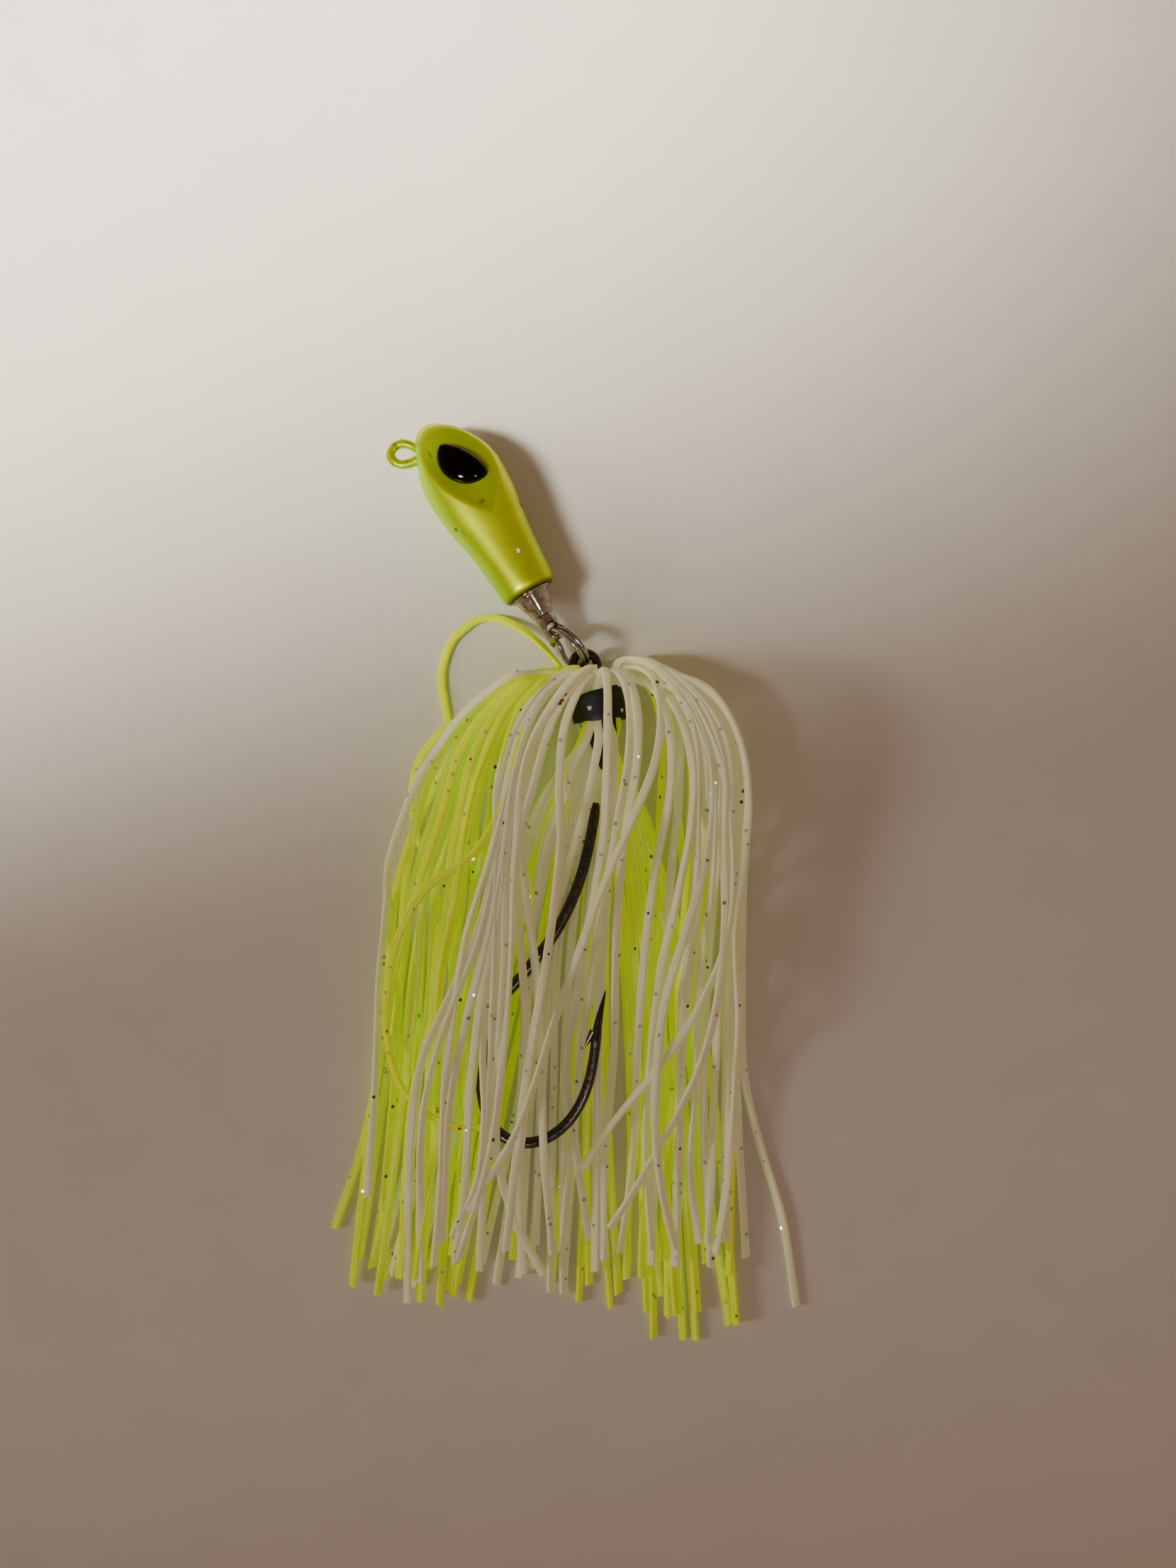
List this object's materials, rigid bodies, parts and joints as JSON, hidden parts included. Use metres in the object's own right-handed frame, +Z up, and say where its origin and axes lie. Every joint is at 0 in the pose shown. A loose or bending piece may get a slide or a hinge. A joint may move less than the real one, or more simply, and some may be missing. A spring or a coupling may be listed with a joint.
{
  "type": "skirted swivel-head jig",
  "caption": "Fishing lure: painted cast head with a side line tie, ball-bearing swivel, split ring, barbed wide-gap hook and a silicone strand skirt held by a rubber collar.",
  "frame": {"origin": "middle of the underside of the bounding box, on the surface that the lure lies on", "axes": "+Z up from the surface, +Y from the skirt's tips towards the head, +X to the side that the hook's point is on"},
  "size_m": [0.0557, 0.1092, 0.01],
  "materials": {
    "head_paint": "gloss pearl",
    "eye_black": "gloss",
    "swivel_nickel": "polished",
    "bearing_steel": "polished",
    "ring_nickel": "polished",
    "hook_black_nickel": "black nickel",
    "black_rubber": "satin",
    "chartreuse_silicone": "satin with glitter",
    "white_silicone": "satin with glitter"
  },
  "bodies": {
    "head": {"head_body": "head_paint", "line_tie": "head_paint", "eye_upper": "eye_black", "eye_lower": "eye_black", "swivel_barrel": "swivel_nickel"},
    "ball_train": {"bearing_ball_1": "bearing_steel", "bearing_ball_2": "bearing_steel", "bearing_ball_3": "bearing_steel", "bearing_ball_4": "bearing_steel", "bearing_ball_5": "bearing_steel", "bearing_ball_6": "bearing_steel", "bearing_ball_7": "bearing_steel"},
    "stud": {"swivel_stud": "swivel_nickel"},
    "ring": {"split_ring": "ring_nickel"},
    "hook_and_skirt": {"hook": "hook_black_nickel", "keeper_sleeve": "black_rubber", "skirt_collar": "black_rubber", "skirt_strand_far_left": "white_silicone", "skirt_strand_far_right": "white_silicone", "skirt_strand_loop": "chartreuse_silicone", "skirt_tuft_front_far_left": "chartreuse_silicone", "skirt_tuft_front_far_right": "white_silicone", "skirt_tuft_front_left": "chartreuse_silicone", "skirt_tuft_front_right": "chartreuse_silicone", "skirt_tuft_over_left": "white_silicone", "skirt_tuft_over_right": "white_silicone", "skirt_tuft_over_top": "white_silicone", "skirt_tuft_rear_left": "chartreuse_silicone", "skirt_tuft_rear_mid_left": "white_silicone", "skirt_tuft_rear_middle": "chartreuse_silicone", "skirt_tuft_rear_right": "chartreuse_silicone"}
  },
  "joints": [
    {"name": "swivel_spin", "type": "hinge", "parent": "head", "child": "stud", "pos_m": [-0.004, 0.03485, 0.0041], "axis": [-0.5, 0.866, 0], "continuous": true},
    {"name": "ball_orbit", "type": "hinge", "parent": "head", "child": "ball_train", "pos_m": [-0.004, 0.03485, 0.0041], "axis": [-0.5, 0.866, 0], "continuous": true},
    {"name": "ring_swing", "type": "hinge", "parent": "stud", "child": "ring", "pos_m": [-0.00145, 0.03043, 0.0041], "axis": [0.2619, 0.1512, 0.9532], "range_deg": [-70, 70]},
    {"name": "hook_swing", "type": "hinge", "parent": "ring", "child": "hook_and_skirt", "pos_m": [0.00238, 0.02636, 0.0041], "axis": [0, 0, 1], "range_deg": [-20, 50]}
  ],
  "couplings": [
    {"joint": "ball_orbit", "follows": "swivel_spin", "ratio": 0.5}
  ]
}
